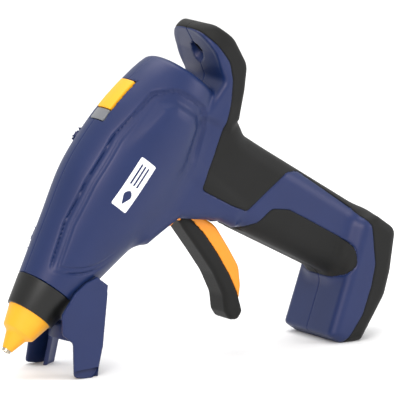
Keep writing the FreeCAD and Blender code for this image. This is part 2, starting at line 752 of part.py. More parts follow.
def bound_box(name, x, y, z, length, width, height):
    """A plain block whose place and size follow the sheet."""
    box = doc.addObject("Part::Box", name)
    for prop, text in (("Length", length), ("Width", width), ("Height", height),
                       ("Placement.Base.x", x), ("Placement.Base.y", y), ("Placement.Base.z", z)):
        box.setExpression(prop, cell(text))
    return box


heater = bound_box("ptc_heater", HEATER_MIDDLE + " - heater_length / 2", "-heater_width / 2", "chamber_flat",
                   "heater_length", "heater_width", "heater_thickness")
keep(heater, "ptc_heater")
turned("heater_clamp", [
    (HEATER_MIDDLE + " - 6", "chamber_radius + fit_gap"),
    (HEATER_MIDDLE + " - 6", "chamber_radius + fit_gap + clamp_thickness"),
    (HEATER_MIDDLE + " + 6", "chamber_radius + fit_gap + clamp_thickness"),
    (HEATER_MIDDLE + " + 6", "chamber_radius + fit_gap"),
])
for name, place in (("front_heat_ring", FRONT + " + 8"), ("rear_heat_ring", RING_TWO)):
    turned(name, [(place, "chamber_radius + fit_gap"), (place, "ring_radius"),
                  (place + " + ring_length", "ring_radius"), (place + " + ring_length", "chamber_radius + fit_gap")])
sensor = doc.addObject("Part::Cylinder", "heat_sensor")
sensor.Placement = Placement(Vector(0, 0, 0), Rotation(Vector(0, 1, 0), 90))
sensor.setExpression("Radius", cell("1.2"))
sensor.setExpression("Height", cell("3"))
sensor.setExpression("Placement.Base.x", cell(HEATER_MIDDLE + " - 9.3"))
sensor.setExpression("Placement.Base.z", cell("-(chamber_radius + 1.2 + fit_gap)"))
keep(sensor, "heat_sensor")
turned("inlet_sleeve", [
    (CHAMBER_END, "stick_radius + stick_gap"), (CHAMBER_END, "chamber_radius - 0.5"),
    (CHAMBER_END + " + 2", "chamber_radius - 0.5"),
    (CHAMBER_END + " + 3", "stick_radius + stick_gap + sleeve_wall - 1"),
    (CHAMBER_END + " + sleeve_length", "stick_radius + stick_gap + 1"),
    (CHAMBER_END + " + sleeve_length", "stick_radius + stick_gap"),
])
turned("stick_guide", [
    (REAR + " - guide_length", "stick_radius + stick_gap"),
    (REAR + " - guide_length", "stick_radius + stick_gap + guide_wall"),
    (REAR + " - 17", "stick_radius + stick_gap + guide_wall"),
    (REAR + " - 17", "stick_radius + stick_gap + guide_wall + 2"),
    (REAR + " - 14", "stick_radius + stick_gap + guide_wall + 2"),
    (REAR + " - 14", "stick_radius + stick_gap + guide_wall"),
    (REAR, "stick_radius + stick_gap + guide_wall"), (REAR, "stick_radius + stick_gap"),
])

# ---------------------------------------------------------------- trigger and feed

def from_pivot(points):
    """Corners given from the trigger's pivot, stretched to the trigger's length."""
    stretch = size("trigger_length") / 73.0
    return [(pivot.x + x, pivot.z + z * (stretch if z < -20 else 1.0), r) for x, z, r in points]


LEVER_FRONT = [(0.8, -15.0, 20.0), (-6.1, -45.0, 40.0), (-13.0, -60.5, 20.0), (-20.0, -66.0, 2.5)]
LEVER_SPLIT = [(-5.5, -61.5, 20.0), (1.6, -45.0, 40.0), (6.3, -29.0, 40.0), (8.2, -15.0, 8.0)]
lever_pad = [(2.6, -7.5, 1.0)] + LEVER_FRONT + [(-18.5, -73.0, 3.0), (-11.5, -72.5, 4.0)] + LEVER_SPLIT
lever_pad.append((6.4, -7.5, 1.0))
lever_core = LEVER_SPLIT[::-1] + [(-10.0, -67.5, 1.5), (0.0, -63.0, 10.0), (7.8, -48.0, 30.0),
                                  (13.4, -28.7, 12.0), (10.0, -8.0, 2.0)]
swing_gap = size("pin_radius") + size("pin_play")
core = slab(from_pivot([(6.4, -7.5, 1.0)] + lever_core), size("trigger_half_width"))
neck = slab(from_pivot([(-4.0, 2.0, 0), (-3.6, -7.4, 2.0), (2.2, -9.2, 0), (2.4, -7.2, 0), (6.4, -7.2, 0),
                        (8.2, -15.0, 0), (12.0, -20.0, 0), (10.0, -4.0, 3.0), (4.0, 2.0, 0)]),
            size("trigger_half_width"))
hub = rod(pivot, Vector(0, 1, 0), 4.2, 2 * size("trigger_half_width"))
arm_axis = (drive - pivot).normalize()
arm = Part.makeBox(5.6, 2 * size("arm_half_width"), size("arm_length"),
                   Vector(-2.8, -size("arm_half_width"), 0))
arm.Placement = Placement(pivot, Rotation(Vector(0, 1, 0), size("trigger_swing") / 2))
eye = rod(drive, Vector(0, 1, 0), 2.8, 2 * size("arm_half_width"))
lever = core.multiFuse([neck.common(block(-400, 400, -400, 400, -400, pivot.z)), hub, arm, eye])
pad_shape = slab(from_pivot(lever_pad), size("trigger_half_width") + 0.2)
lever = lever.cut([rod(pivot, Vector(0, 1, 0), swing_gap, 60), rod(drive, Vector(0, 1, 0), size("pin_radius"), 60),
                   pad_shape])
plain("trigger", lever)
plain("trigger_grip", pad_shape.cut([hub, neck.common(block(-400, 400, -400, 400, -400, pivot.z))]))


def bound_pin(name, x, z, radius, length):
    """A pin across the gun."""
    pin = doc.addObject("Part::Cylinder", name)
    pin.setExpression("Radius", cell(radius))
    pin.setExpression("Height", cell(length))
    pin.Placement = Placement(Vector(0, 0, 0), Rotation(Vector(1, 0, 0), -90))
    pin.setExpression("Placement.Base.x", cell(x))
    pin.setExpression("Placement.Base.y", cell("-(" + length + ") / 2"))
    pin.setExpression("Placement.Base.z", cell(z))
    return keep(pin, name)


PIVOT_X = BELLY + " - pivot_ahead"
DRIVE_X = PIVOT_X + " + arm_length * sin(trigger_swing / 2)"
DRIVE_Z = "arm_length * cos(trigger_swing / 2) - pivot_drop"
bound_pin("trigger_pin", PIVOT_X, "-pivot_drop", "pin_radius", "2 * grip_half_width - 7")
bound_pin("drive_pin", DRIVE_X, DRIVE_Z, "pin_radius", "2 * (arm_half_width + loose_gap + 3.2)")
bound_pin("stand_pin", FRONT + " + hinge_at", "-hinge_drop", "hinge_pin_radius", "2 * (front_radius + 2.6)")

carriage = new_body("feed_carriage")
CAR = DRIVE_X + " - 7"
block_sketch = new_sketch(carriage, "carriage_side", "XZ_Plane")
draw_polygon(block_sketch, [
    (CAR, "-carriage_half_height - lug_depth + 4"), (CAR + " + 2.2", "-carriage_half_height - lug_depth + 4"),
    (CAR + " + 3.5", DRIVE_Z + " - 3.6"), (CAR + " + 10.5", DRIVE_Z + " - 3.6"),
    (CAR + " + 10.5", "-carriage_half_height"), (CAR + " + carriage_length", "-carriage_half_height"),
    (CAR + " + carriage_length", "carriage_half_height + 3"), (CAR + " + carriage_length - 7", "carriage_half_height + 3"),
    (CAR + " + carriage_length - 9", "carriage_half_height"), (CAR, "carriage_half_height"),
])
pad(carriage, block_sketch, "2 * carriage_half_width")
tongue = new_sketch(carriage, "carriage_tongues", "XZ_Plane")
draw_polygon(tongue, [
    (CAR, "-tongue_half_height"), (CAR + " + carriage_length", "-tongue_half_height"),
    (CAR + " + carriage_length", "tongue_half_height"), (CAR, "tongue_half_height"),
])
pad(carriage, tongue, "2 * (carriage_half_width + tongue_reach)")
doc.recompute()
bore = new_sketch(carriage, "stick_bore", "YZ_Plane")
draw_circle(bore, "0", "0", "stick_radius + 2 * stick_gap")
pocket(carriage, bore)
window = new_sketch(carriage, "jaw_window", "XZ_Plane")
draw_polygon(window, [
    (CAR + " + 3", "1"), (CAR + " + carriage_length - 1.5", "1"),
    (CAR + " + carriage_length - 1.5", "carriage_half_height + 6"), (CAR + " + 3", "carriage_half_height + 6"),
])
opening = pocket(carriage, window, "2 * 2.9")
opening.SideType = "Symmetric"
fork = new_sketch(carriage, "arm_space", "XZ_Plane")
draw_polygon(fork, [
    (CAR + " + 2.2", "-carriage_half_height - lug_depth - 6"), (CAR + " + 14", "-carriage_half_height - lug_depth - 6"),
    (CAR + " + 14", "-stick_radius - 2.5 + 0.6"), (CAR + " + 2.2", "-stick_radius - 2.5 + 0.6"),
])
gap = pocket(carriage, fork, "2 * (arm_half_width + loose_gap)")
gap.SideType = "Symmetric"
slot = new_sketch(carriage, "drive_slot", "XZ_Plane")
draw_polygon(slot, [
    (DRIVE_X + " - pin_radius - 0.3", DRIVE_Z + " - pin_radius - 0.5"),
    (DRIVE_X + " + pin_radius + 0.3", DRIVE_Z + " - pin_radius - 0.5"),
    (DRIVE_X + " + pin_radius + 0.3", DRIVE_Z + " + pin_radius + 0.8"),
    (DRIVE_X + " - pin_radius - 0.3", DRIVE_Z + " + pin_radius + 0.8"),
])
pocket(carriage, slot)
JAW_X = CAR + " + carriage_length - 4.5"
JAW_Z = "carriage_half_height + 0.5"
jaw_bore = new_sketch(carriage, "jaw_pin_bore", "XZ_Plane")
draw_circle(jaw_bore, JAW_X, JAW_Z, "1")
pocket(carriage, jaw_bore)
keep(carriage, "feed_carriage")
bound_pin("jaw_pin", JAW_X, JAW_Z, "1", "2 * carriage_half_width - 1")

jaw = new_body("feed_jaw")
jaw_side = new_sketch(jaw, "jaw_side", "XZ_Plane")
draw_polygon(jaw_side, [
    (JAW_X + " - jaw_length + 1", "stick_radius + 2 * stick_gap - 0.1"), (JAW_X + " - 2", JAW_Z + " - 2.4"),
    (JAW_X + " + 1.5", JAW_Z + " - 2.2"), (JAW_X + " + 2.2", JAW_Z), (JAW_X + " + 1.2", JAW_Z + " + 2"),
    (JAW_X + " - 2", JAW_Z + " + 1.8"), (JAW_X + " - jaw_length + 0.5", "stick_radius + 2 * stick_gap + 1.8"),
])
pad(jaw, jaw_side, "2 * 2.5")
doc.recompute()
eye_sketch = new_sketch(jaw, "jaw_eye", "XZ_Plane")
draw_circle(eye_sketch, JAW_X, JAW_Z, "1 + pin_play")
pocket(jaw, eye_sketch)
keep(jaw, "feed_jaw")

coil("return_spring", size("spring_radius"), size("spring_wire"), spring_seat + 0.05, carriage_front - 0.05, 7,
     Vector(0, 0, drive.z - 0.5))

# ---------------------------------------------------------------- button, lens, boards and battery

half_button = size("button_half_width")
crown = barrel(size("button_rise")).cut(barrel(-1.6))
cap = crown.common(block(button_front, button_rear, -half_button, half_button, board_top, 60.0))
stem_low = board_top + 4.0 + size("button_travel") + 0.3
stem = Part.makeCylinder(1.8, worth("back_half_height") - stem_low - 1.0,
                         Vector((button_front + button_rear) / 2, 0, stem_low), Vector(0, 0, 1))
plain("power_button", cap.fuse(stem).removeSplitter())
glass = barrel(0.0).cut(barrel(-2.0))
plain("indicator_lens", glass.common(block(lens_front, button_front - 2 * loose, -half_button - 0.25,
                                           half_button + 0.25, board_top, 60.0)))
BUTTON_FRONT = BACK + " - 4"
button_board = bound_box("button_board", BUTTON_FRONT + " - lens_length", "-9",
                         "17 - board_thickness", "lens_length + button_length", "18", "board_thickness")
keep(button_board, "button_board")
switch = bound_box("tact_switch", BUTTON_FRONT + " + button_length / 2 - 3", "-3", "17",
                   "6", "6", "4")
keep(switch, "tact_switch")
led = doc.addObject("Part::Cylinder", "status_led")
led.setExpression("Radius", cell("1.5"))
led.setExpression("Height", cell("4.5"))
led.setExpression("Placement.Base.x", cell(BUTTON_FRONT + " - lens_length / 2"))
led.setExpression("Placement.Base.z", cell("17"))
keep(led, "status_led")


def laid(name, shape, centre, angle):
    """A straight piece laid at an angle in the gun's side plane."""
    shape.Placement = Placement(centre, Rotation(Vector(0, -1, 0), angle))
    return plain(name, shape)


board_centre = Vector(grip_front_top.x + 23.5, 0, grip_front_top.z + 2.0)
board = Part.makeBox(20.0, size("board_thickness"), 34.0, Vector(-10.0, -size("board_thickness") / 2, -17.0))
laid("control_board", board, board_centre, -8.0)
for side, name in ((-1, "battery_cell_left"), (1, "battery_cell_right")):
    can = Part.makeCylinder(size("cell_radius"), size("cell_length"),
                            Vector(-size("cell_length") / 2, side * (size("cell_radius") + 0.2), 0), Vector(1, 0, 0))
    laid(name, can, Vector(cell_centre), size("cell_tilt"))
strap_reach = size("cell_length") / 2 + 0.05
strap = Part.makeBox(0.3, 3.4 * size("cell_radius"), 5.0,
                     Vector(-strap_reach - 0.3, -1.7 * size("cell_radius"), -2.5))
laid("cell_link", strap, Vector(cell_centre), size("cell_tilt"))
tabs = [Part.makeBox(0.3, 6.0, 5.0, Vector(strap_reach, side * (size("cell_radius") + 0.2) - 3.0, -2.5))
        for side in (-1, 1)]
laid("cell_tabs", Part.makeCompound(tabs), Vector(cell_centre), size("cell_tilt"))
can = block(socket_at.x - size("socket_length") - 1.0, socket_at.x - 1.0,
            -size("socket_half_width"), size("socket_half_width"),
            socket_at.z - size("socket_half_height"), socket_at.z + size("socket_half_height"))
can = can.makeFillet(1.4, [e for e in can.Edges if e.BoundBox.XLength > 5.0])
mouth = block(socket_at.x - size("socket_length"), socket_at.x + 1.0,
              -size("socket_half_width") + 0.35, size("socket_half_width") - 0.35,
              socket_at.z - size("socket_half_height") + 0.35, socket_at.z + size("socket_half_height") - 0.35)
mouth = mouth.makeFillet(1.1, [e for e in mouth.Edges if e.BoundBox.XLength > 5.0])
tongue_plate = block(socket_at.x - size("socket_length"), socket_at.x - 2.0, -3.2, 3.2,
                     socket_at.z - 0.35, socket_at.z + 0.35)
plain("charging_socket", can.cut(mouth).fuse(tongue_plate))

screws = []
for x, z in screw_places:
    seat_y = head_depth(x, z)
    shank = Part.makeCylinder(size("screw_radius"), seat_y + 6.0, Vector(x, -6.0, z), Vector(0, 1, 0))
    head = Part.makeCylinder(size("screw_head_radius"), size("screw_head_height"), Vector(x, seat_y, z),
                             Vector(0, 1, 0))
    screws.append(shank.fuse(head))
plain("housing_screws", Part.makeCompound(screws))

# ---------------------------------------------------------------- stand

def folded_stand():
    """The stand hugging the barrel's belly, as a trough that follows the housing."""
    outer_trough = barrel(size("stand_gap") + size("stand_wall"))
    inner_trough = barrel(size("stand_gap"))
    trough = outer_trough.cut(inner_trough)
    length = size("stand_length")
    lean = Placement(hinge, Rotation(Vector(0, 1, 0), size("stand_slope")))
    keep_box = Part.makeBox(length + 3.0, 80.0, 60.0, Vector(-3.0, -40.0, size("stand_rise") - 60.0))
    keep_box.Placement = lean
    trough = trough.common(keep_box)
    half_gap = size("leg_gap_half")
    legs = Part.makeBox(size("leg_length") + 20.0, 2 * half_gap, 60.0,
                        Vector(length - size("leg_length"), -half_gap, -55.0))
    legs.Placement = lean
    root_clear = rod(hinge, Vector(0, 1, 0), 13.0, 2 * (half_gap + 0.6))
    eyes = []
    for side in (-1, 1):
        eye_y = side * (size("front_radius") + 1.1)
        eyes.append(rod(Vector(hinge.x, eye_y, hinge.z), Vector(0, 1, 0), 3.4, 2.2))
    trough = trough.cut([legs, root_clear]).multiFuse(eyes)
    trough = trough.cut(rod(hinge, Vector(0, 1, 0), size("hinge_pin_radius") + size("pin_play"), 80.0))
    return trough


stand_shape = folded_stand()
stand_shape.rotate(hinge, Vector(0, 1, 0), size("stand_open"))
below = Part.makeBox(400.0, 200.0, 60.0, Vector(-200.0, -100.0, -60.0))
below.Placement = Placement(Vector(0, 0, 0), Rotation(Vector(0, 1, 0), size("pitch_angle"))).multiply(
    Placement(Vector(0, 0, ground), Rotation()))
stand_shape = stand_shape.cut(below)
plain("stand", stand_shape)

# ---------------------------------------------------------------- finish

doc.removeObject("probe")
doc.recompute()
boxes = []
for piece in kept:
    shape = piece.Shape
    if "Invalid" in piece.State or "Error" in piece.State or shape.isNull() or not shape.isValid():
        raise RuntimeError("%s did not build: %s" % (piece.Label, piece.State))
    boxes.append(shape.transformGeometry(UPRIGHT.toMatrix()).optimalBoundingBox(False))
middle = (min(box.XMin for box in boxes) + max(box.XMax for box in boxes)) / 2
standing = Placement(Vector(-middle, 0, -ground), Rotation()).multiply(UPRIGHT)
for piece in kept:
    piece.Placement = standing.multiply(piece.Placement)
doc.recompute()
os.makedirs("parts", exist_ok=True)
for piece in kept:
    piece.Shape.exportStep("parts/%s.step" % piece.Label)
print("%d pieces, shift %.4f, %.4f" % (len(kept), standing.Base.x, standing.Base.z))
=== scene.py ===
import json
import math

import bpy
import numpy as np
from mathutils import Matrix, Vector


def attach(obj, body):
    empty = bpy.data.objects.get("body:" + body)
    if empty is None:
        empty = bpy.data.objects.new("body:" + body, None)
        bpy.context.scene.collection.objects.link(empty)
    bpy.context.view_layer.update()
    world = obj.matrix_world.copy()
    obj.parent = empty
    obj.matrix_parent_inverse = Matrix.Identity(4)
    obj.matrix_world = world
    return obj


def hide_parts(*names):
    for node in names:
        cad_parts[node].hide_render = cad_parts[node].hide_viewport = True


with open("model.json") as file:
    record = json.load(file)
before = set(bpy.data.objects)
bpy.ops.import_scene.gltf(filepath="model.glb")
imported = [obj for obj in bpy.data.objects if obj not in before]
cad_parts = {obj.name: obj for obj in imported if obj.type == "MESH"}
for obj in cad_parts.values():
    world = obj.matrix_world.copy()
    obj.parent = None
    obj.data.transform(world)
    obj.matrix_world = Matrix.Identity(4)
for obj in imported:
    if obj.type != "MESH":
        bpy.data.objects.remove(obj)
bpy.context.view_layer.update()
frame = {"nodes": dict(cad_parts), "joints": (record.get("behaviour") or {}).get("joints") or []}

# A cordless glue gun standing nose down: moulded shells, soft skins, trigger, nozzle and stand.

# ---------------------------------------------------------------- the gun's own frame
# x runs from the nozzle's tip along the barrel (millimetres), y to the gun's right, the row frame's +Y,
# z from the barrel's belly to its top. The feed slide and the trigger's pivot say where it lies.

JOINTS = {joint["name"]: joint for joint in frame["joints"]}
ALONG = -Vector(JOINTS["feed_slide"]["axis"]).normalized()
ABOVE = -Vector(JOINTS["button_press"]["axis"]).normalized()
PIVOT = (104.0, -29.5)
HINGE = (43.0, -14.0)
ORIGIN = Vector(JOINTS["trigger_pivot"]["pos_m"]) - (ALONG * PIVOT[0] + ABOVE * PIVOT[1]) / 1000
GUN = Matrix.Translation(ORIGIN) @ Matrix((
    (ALONG.x / 1000, 0, ABOVE.x / 1000, 0),
    (0, 0.001, 0, 0),
    (ALONG.z / 1000, 0, ABOVE.z / 1000, 0),
    (0, 0, 0, 1)))

# ---------------------------------------------------------------- distances
# Every function takes arrays of x, y and z and gives a signed distance, negative inside.


def ramp(value, low, high):
    """0 below low, 1 above high, smooth between."""
    t = np.clip((value - low) / (high - low), 0.0, 1.0)
    return t * t * (3.0 - 2.0 * t)


def joined(a, b, radius):
    """Union with a concave fillet."""
    h = np.maximum(radius - np.abs(a - b), 0.0) / radius
    return np.minimum(a, b) - h * h * radius / 4.0


def met(a, b, radius):
    """Intersection with a rounded edge."""
    p, q = a + radius, b + radius
    return np.sqrt(np.maximum(p, 0) ** 2 + np.maximum(q, 0) ** 2) + np.minimum(np.maximum(p, q), 0) - radius


def carved(a, b, radius):
    """a with b taken away, with a rounded edge."""
    return met(a, -b, radius)


def rounded(corners):
    """Corners (x, z, radius) as a closed list of points with an arc at each rounded corner."""
    points = []
    count = len(corners)
    for i, (x, z, radius) in enumerate(corners):
        here = np.array([x, z])
        if radius <= 0:
            points.append(here)
            continue
        before = np.array(corners[i - 1][:2]) - here
        after = np.array(corners[(i + 1) % count][:2]) - here
        room = 0.48 * min(np.linalg.norm(before), np.linalg.norm(after))
        before, after = before / np.linalg.norm(before), after / np.linalg.norm(after)
        half = math.acos(np.clip(before @ after, -1, 1)) / 2
        reach = min(radius / math.tan(half), room)
        start, end = here + before * reach, here + after * reach
        for t in np.linspace(0, 1, 7):
            points.append(start * (1 - t) ** 2 + here * 2 * t * (1 - t) + end * t * t)
    return np.array(points)


def outline(corners):
    """The signed distance to a closed outline in the side plane."""
    points = rounded(corners)

    def distance(x, z):
        nearest = np.full(np.broadcast(x, z).shape, 1e9)
        inside = np.zeros(nearest.shape, bool)
        for (ax, az), (bx, bz) in zip(points, np.roll(points, -1, axis=0)):
            ex, ez = bx - ax, bz - az
            if ex * ex + ez * ez < 1e-12:
                continue
            t = np.clip(((x - ax) * ex + (z - az) * ez) / (ex * ex + ez * ez), 0, 1)
            nearest = np.minimum(nearest, (x - ax - t * ex) ** 2 + (z - az - t * ez) ** 2)
            if abs(ez) > 1e-12:
                inside ^= ((az > z) != (bz > z)) & (x < ax + ex * (z - az) / ez)
        return np.sqrt(nearest) * np.where(inside, -1.0, 1.0)

    return distance


def eased(x, knots, values):
    """A smooth line through values at knots."""
    knots, values = np.asarray(knots, float), np.asarray(values, float)
    rise = np.diff(values) / np.diff(knots)
    slope = np.concatenate([rise[:1], (rise[:-1] + rise[1:]) / 2, rise[-1:]])
    i = np.clip(np.searchsorted(knots, x) - 1, 0, len(knots) - 2)
    span = knots[i + 1] - knots[i]
    t = np.clip((x - knots[i]) / span, 0, 1)
    return ((1 + 2 * t) * (1 - t) ** 2 * values[i] + t * (1 - t) ** 2 * span * slope[i]
            + t * t * (3 - 2 * t) * values[i + 1] + t * t * (t - 1) * span * slope[i + 1])


# ---------------------------------------------------------------- the shell's form

FRONT, REAR = 38.0, 168.0
STATIONS = (38.0, 68.0, 95.0, 117.0, 133.0, 149.0, 161.0, 168.0, 174.0)
HALF_HEIGHTS = (16.0, 23.3, 29.3, 30.0, 28.7, 25.6, 22.4, 19.4, 16.0)
HALF_WIDTHS = (16.0, 20.0, 24.0, 24.6, 24.4, 23.4, 21.6, 19.6, 17.0)
GRIP_HALF, GUARD_HALF, BASE_HALF = 16.5, 20.0, 23.5
GRIP_TOP, GRIP_LOW = (121.5, -66.0), (134.5, -130.0)
BACK_LOW = (173.0, -130.0)
TOE_TOP, TOE_LOW, FOOT_END = (107.0, -146.5), (107.8, -155.0), (115.9, -165.1)
STICK_HOLE, GUIDE_HOLE = 4.7, 6.2
BUTTON = (129.0, 148.0, 5.8)
LENS_FRONT = 121.95
SLOT_HALF = 8.7
SCREWS = ((57.0, 13.6), (113.0, 20.5), (152.5, -41.0), (148.0, -88.0), (163.0, -123.5))

flank = outline([
    (84.0, -24.0, 0), (85.5, -28.5, 2.5), (98.5, -33.5, 3), (106.5, -36.5, 2.5), (118.5, -57.0, 6),
    (122.0, -67.0, 0), (133.5, -64.0, 0), (131.5, 0.0, 0), (96.0, 0.0, 0)])
grip = outline([
    (125.5, -16.0, 0), (*GRIP_TOP, 20), (*GRIP_LOW, 0), (138.5, -144.0, 0), (168.0, -144.0, 0),
    (*BACK_LOW, 30), (162.0, -43.0, 9), (166.5, -32.0, 4), (175.0, -25.0, 0), (170.0, -16.0, 0),
    (158.0, -13.0, 0)])
guard = outline([
    (154.0, -12.0, 0), (158.0, -30.0, 0), (165.0, -31.5, 0), (178.5, -24.8, 12), (189.5, -18.0, 10),
    (195.5, -3.0, 16), (195.8, 10.5, 10), (187.0, 15.0, 5), (180.5, 0.0, 10), (176.0, -12.0, 5)])
base = outline([
    (*TOE_TOP, 2.5), (*TOE_LOW, 1.5), (*FOOT_END, 3), (142.5, -162.5, 14), (154.5, -157.5, 10),
    (173.5, -146.5, 6), (172.5, -132.0, 6), (164.0, -126.0, 6), (142.5, -134.0, 6)])
slot = outline([
    (98.8, -24.5, 0), (98.8, -43.5, 0), (113.5, -73.5, 0), (125.0, -75.0, 2), (129.0, -64.0, 3),
    (129.0, -43.5, 3), (118.0, -24.5, 0)])
dish = outline([(165.0, -9.5, 2), (176.3, -9.5, 3), (183.2, 1.0, 8), (191.5, 22.0, 0), (165.0, 22.0, 0)])
spine = outline([
    (189.0, 40.0, 0), (188.5, 12.5, 6), (187.0, 3.0, 8), (184.0, -8.0, 10), (178.0, -15.0, 8),
    (169.0, -21.0, 8), (143.5, -31.5, 6), (124.5, -36.5, 3), (128.0, -56.0, 4), (131.0, -66.5, 3),
    (148.0, -71.0, 8), (160.5, -74.5, 6), (165.5, -82.0, 9), (168.0, -121.0, 12), (166.5, -131.0, 8),
    (159.5, -138.0, 8), (151.5, -146.0, 8), (141.5, -151.0, 8), (126.5, -156.0, 8), (98.8, -156.8, 0),
    (98.8, -230.0, 0), (230.0, -230.0, 0), (230.0, 40.0, 0)])
palm = outline([
    (108.0, -70.5, 0), (121.0, -69.5, 3), (130.5, -76.0, 5), (140.5, -78.5, 5), (146.0, -87.5, 9),
    (148.5, -101.0, 12), (152.0, -122.0, 10), (152.5, -130.5, 8), (145.0, -137.0, 6), (134.0, -135.0, 6),
    (120.0, -128.0, 0), (105.0, -120.0, 0)])
panel = outline([
    (43.5, 11.0, 0), (68.0, 18.3, 25), (92.0, 22.6, 40), (118.0, 23.6, 18), (147.5, 18.6, 7),
    (155.6, 9.5, 6), (157.3, -9.0, 5), (150.0, -17.5, 8), (131.0, -24.5, 10), (112.0, -24.0, 30),
    (80.0, -19.0, 40), (55.0, -8.0, 40)])


def barrel(x, y, z):
    """The bulb: an upright ellipse whose height and width change along x."""
    high, wide = eased(x, STATIONS, HALF_HEIGHTS), eased(x, STATIONS, HALF_WIDTHS)
    reach = np.sqrt((y / wide) ** 2 + (z / high) ** 2) + 1e-9
    steep = np.sqrt(y * y / wide ** 4 + z * z / high ** 4) + 1e-9
    return (reach - 1.0) * reach / steep


def panel_relief(x, y, z):
    """How far the side panel's groove, ridge and pillow lower the barrel's flank."""
    edge = panel(x, z)
    back = ramp(x, 112.0, 146.0)
    low = ramp(z, -14.0, -2.0) + back * (1 - ramp(z, -14.0, -2.0))
    groove = 1.4 * np.exp(-(edge / 0.8) ** 2) * low
    ledge = 0.55 * ramp(-edge, 0.4, 1.4) * (1 - ramp(-edge, 2.2, 3.4)) * low
    second = 0.45 * np.exp(-((edge + 2.9) / 0.6) ** 2) * (1 - back) * low
    band = back * 2.0 * ramp(-edge, 0.0, 1.2) * (1 - ramp(-edge, 4.2, 9.0))
    swell = -0.7 * back * ramp(-edge, 6.0, 13.0)
    fade = ramp(x, 43.0, 50.0) * (1 - ramp(np.abs(y) * -1, -7.0, -5.0))
    return (groove + ledge * (1 - back) + second + band + swell) * fade


def shell(x, y, z, relief=False):
    """The whole moulded body, as one smooth form with its openings, with or without its fine relief."""
    across = np.abs(y)
    bulb = barrel(x, y, z)
    if relief:
        bulb = bulb + panel_relief(x, y, z)
    body = met(bulb, x - REAR, 3.5)
    body = met(body, FRONT - x, 0.4)
    cheek = met(flank(x, z), across - GRIP_HALF, 6.0)
    body = joined(body, cheek, 7.0)
    wide = GRIP_HALF + 3.0 * ramp(z, -62.0, -30.0) * ramp(x, 142.0, 166.0)
    handle = met(grip(x, z), across - wide, 10.0)
    round_top = np.where(z > -4.0, np.sqrt(y * y + (z + 4.0) ** 2), across) - GUARD_HALF
    hook = met(guard(x, z), round_top, 3.0)
    hollow = met(dish(x, z), round_top + 2.6, 1.5)
    hook = carved(hook, hollow, 0.8)
    foot = met(base(x, z), across - BASE_HALF, 5.0)
    handle = joined(handle, foot, 9.0)
    body = joined(body, handle, 5.0)
    body = joined(body, hook, 3.0)
    body = carved(body, np.maximum(met(dish(x, z), across - 40.0, 0.5), 169.0 - x), 0.6)
    stick = np.sqrt(y * y + z * z)
    body = carved(body, np.maximum(stick - STICK_HOLE, 165.0 - x), 0.5)
    body = carved(body, np.maximum(np.maximum(stick - GUIDE_HOLE, 140.0 - x), x - REAR - 1), 0.3)
    body = carved(body, np.maximum(slot(x, z), across - SLOT_HALF), 0.8)
    cap = np.maximum(np.maximum(across - BUTTON[2] - 0.3, LENS_FRONT - 0.15 - x), x - BUTTON[1] - 0.3)
    body = carved(body, np.maximum(cap, 21.0 - z), 0.25)
    for sx, sz in SCREWS:
        hole = np.sqrt((x - sx) ** 2 + (z - sz) ** 2) - 2.8
        body = carved(body, np.maximum(hole, 9.5 - y), 0.3)
    port = met(across - 4.6, np.abs(z + 137.0) - 1.75, 1.4)
    body = carved(body, np.maximum(port, 166.0 - x), 0.3)
    if not relief:
        return body
    edge = np.minimum(np.abs(spine(x, z)), np.abs(palm(x, z)))
    return body + 0.3 * np.exp(-(y / 0.3) ** 2) + 0.55 * np.exp(-(edge / 0.35) ** 2)


# ---------------------------------------------------------------- from distances to a mesh

def sample(form, low, high, step):
    """A form's distances on a grid that is symmetric about the middle of its box."""
    axes = []
    for near, far in zip(low, high):
        count = 2 * int(round((far - near) / step / 2))
        axes.append((near + far) / 2 + (np.arange(count) - (count - 1) / 2) * step)
    x, y, z = axes
    values = form(x[:, None, None], y[None, :, None], z[None, None, :])
    return values, np.array([x[0], y[0], z[0]])


def net(values, start, step):
    """A closed quad mesh round the negative values, one point to each cell that the surface crosses."""
    inside = values < 0
    shape = np.array(values.shape) - 1
    corners = [(i, j, k) for i in (0, 1) for j in (0, 1) for k in (0, 1)]
    total = sum(inside[i:i + shape[0], j:j + shape[1], k:k + shape[2]].astype(np.int8) for i, j, k in corners)
    cells = np.argwhere((total > 0) & (total < 8))
    number = np.full(shape, -1, np.int64)
    number[tuple(cells.T)] = np.arange(len(cells))
    at = {c: values[tuple((cells + c).T)] for c in corners}
    points, hits = np.zeros((len(cells), 3)), np.zeros(len(cells))
    for a in corners:
        for axis in range(3):
            if a[axis]:
                continue
            b = tuple(1 if n == axis else a[n] for n in range(3))
            cross = (at[a] < 0) != (at[b] < 0)
            place = np.tile(np.array(a, float), (cross.sum(), 1))
            place[:, axis] += at[a][cross] / (at[a][cross] - at[b][cross])
            points[cross] += place
            hits[cross] += 1
    points = start + (cells + points / hits[:, None]) * step
    quads = []
    for axis in range(3):
        u, v = (axis + 1) % 3, (axis + 2) % 3
        low = np.take(inside, range(0, inside.shape[axis] - 1), axis)
        high = np.take(inside, range(1, inside.shape[axis]), axis)
        edges = np.argwhere(low != high)
        edges = edges[(edges[:, u] > 0) & (edges[:, v] > 0)
                      & (edges[:, u] < shape[u]) & (edges[:, v] < shape[v])]
        ring = []
        for du, dv in ((0, 0), (1, 0), (1, 1), (0, 1)):
            cell = edges.copy()
            cell[:, u] -= du
            cell[:, v] -= dv
            ring.append(number[tuple(cell.T)])
        ring = np.stack(ring, 1)
        quads.append(np.where(low[tuple(edges.T)][:, None], ring[:, ::-1], ring))
    return points, np.concatenate(quads)


def slope(form, points):
    """A form's distance and its gradient at points."""
    reach = 0.04
    here = form(*points.T)
    grown = [form(*(points + reach * np.eye(3)[n]).T) for n in range(3)]
    return here, np.stack([(g - here) / reach for g in grown], 1)


